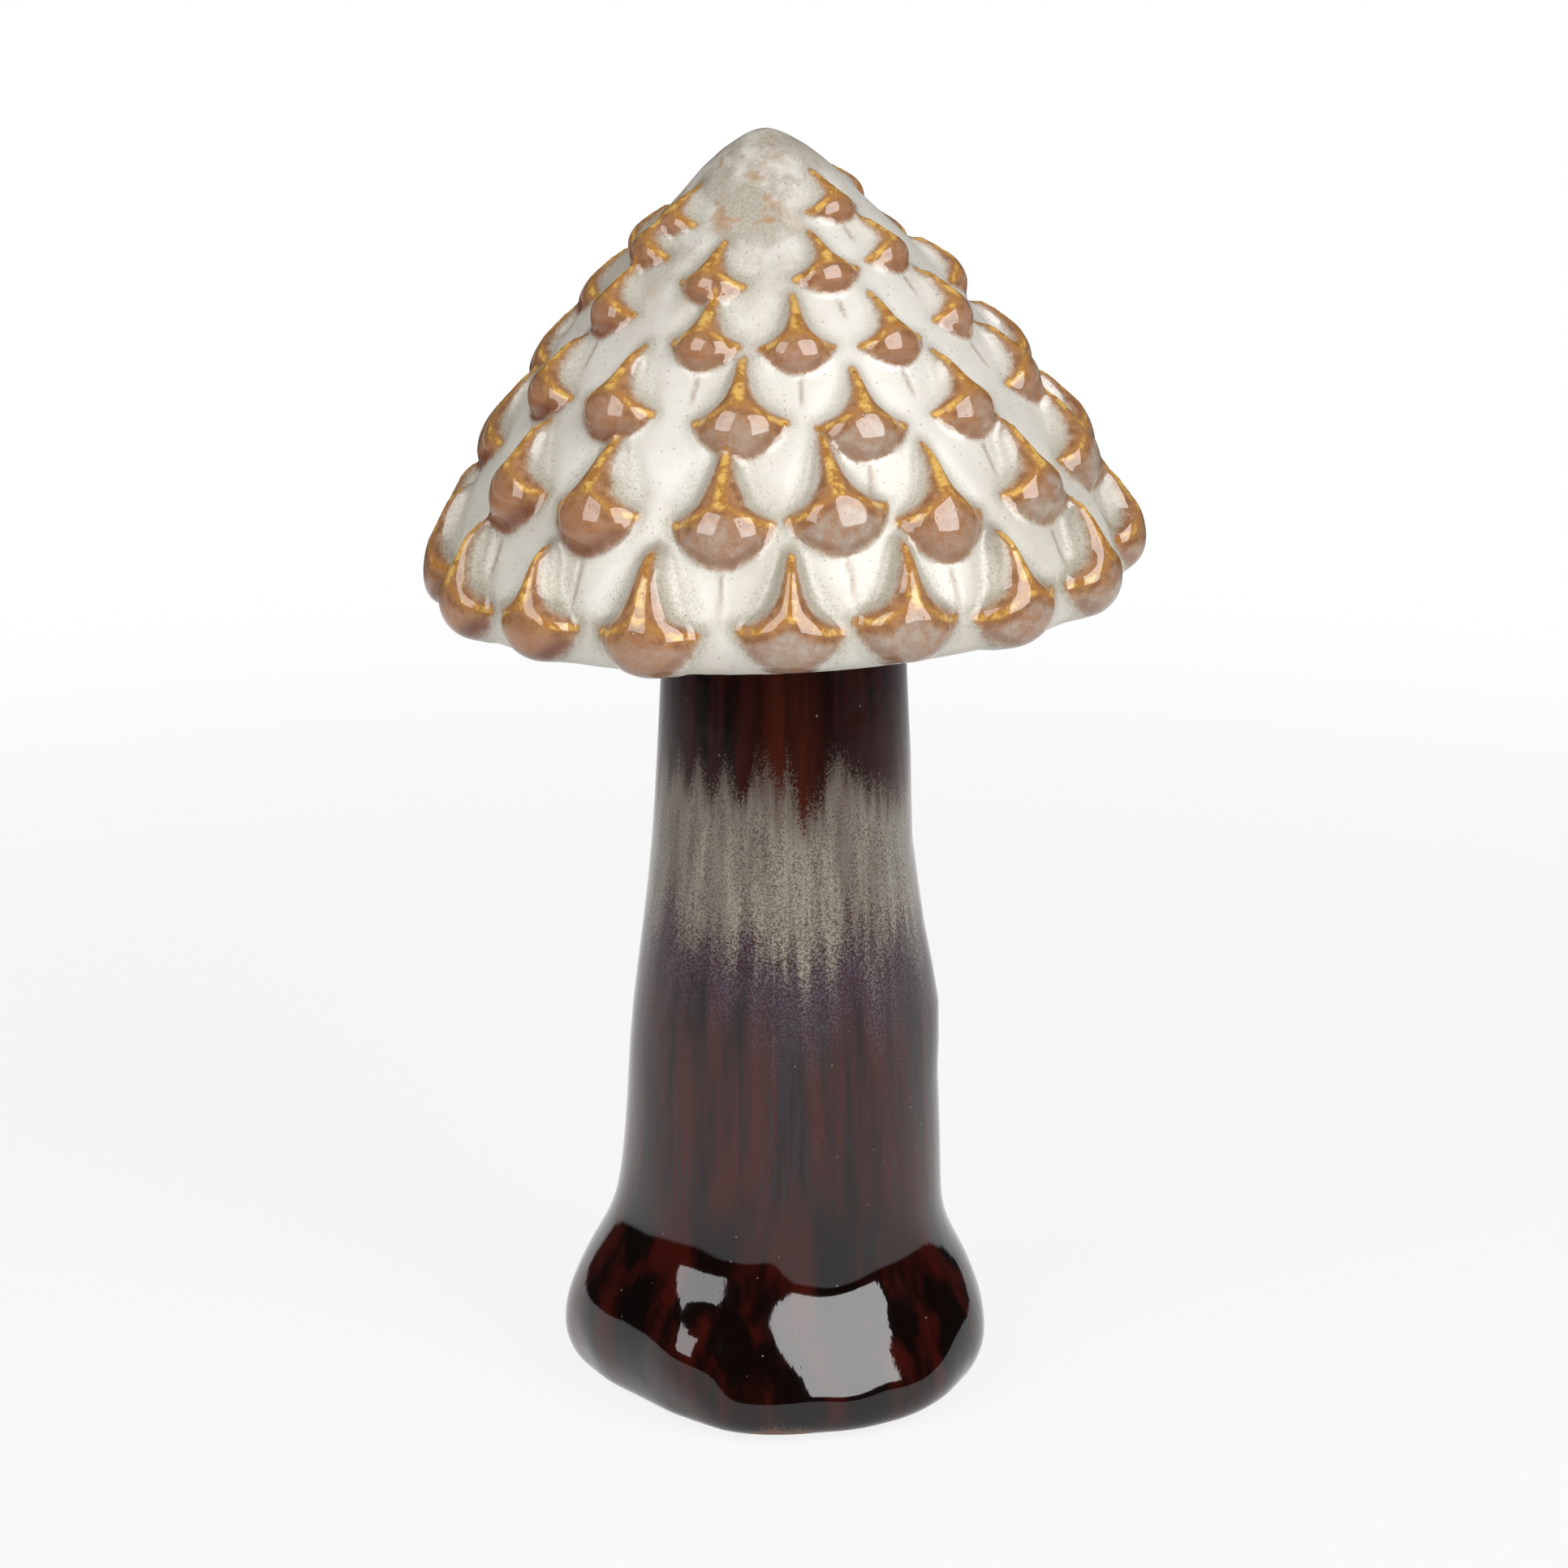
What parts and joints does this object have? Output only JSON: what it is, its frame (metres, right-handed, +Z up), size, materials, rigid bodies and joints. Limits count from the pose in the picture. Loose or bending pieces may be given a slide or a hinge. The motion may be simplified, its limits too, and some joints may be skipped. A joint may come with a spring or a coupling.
{
  "type": "ceramic mushroom ornament",
  "caption": "Free-standing glazed ceramic mushroom: a hollow stem with a flared foot and a conical scaled cap that turns on the stem and lifts off it.",
  "frame": {"origin": "on the ground, on the stem's axis, under the middle of the foot and of the overall box", "axes": "+Z up along the stem's axis, -Y towards the side that the picture shows, the cap leans towards -X"},
  "size_m": [0.1252, 0.1254, 0.2206],
  "materials": {
    "stem_glaze": "gloss",
    "cap_glaze": "gloss",
    "bare_clay": "matte",
    "soft_ring": "matte"
  },
  "bodies": {
    "stem": {"stem_shell": "stem_glaze", "foot_ring": "bare_clay", "foot_plate": "bare_clay", "neck_spigot": "bare_clay"},
    "ring": {"seat_ring": "soft_ring"},
    "cap": {"cap_dome": "cap_glaze", "cap_underside": "bare_clay", "cap_socket": "bare_clay"}
  },
  "joints": [
    {"name": "cap_turn", "type": "hinge", "parent": "stem", "child": "ring", "pos_m": [0, 0, 0.144], "axis": [0, 0, 1], "continuous": true},
    {"name": "cap_lift", "type": "slide", "parent": "ring", "child": "cap", "axis": [0, 0, 1], "range_m": [0, 0.05]}
  ]
}
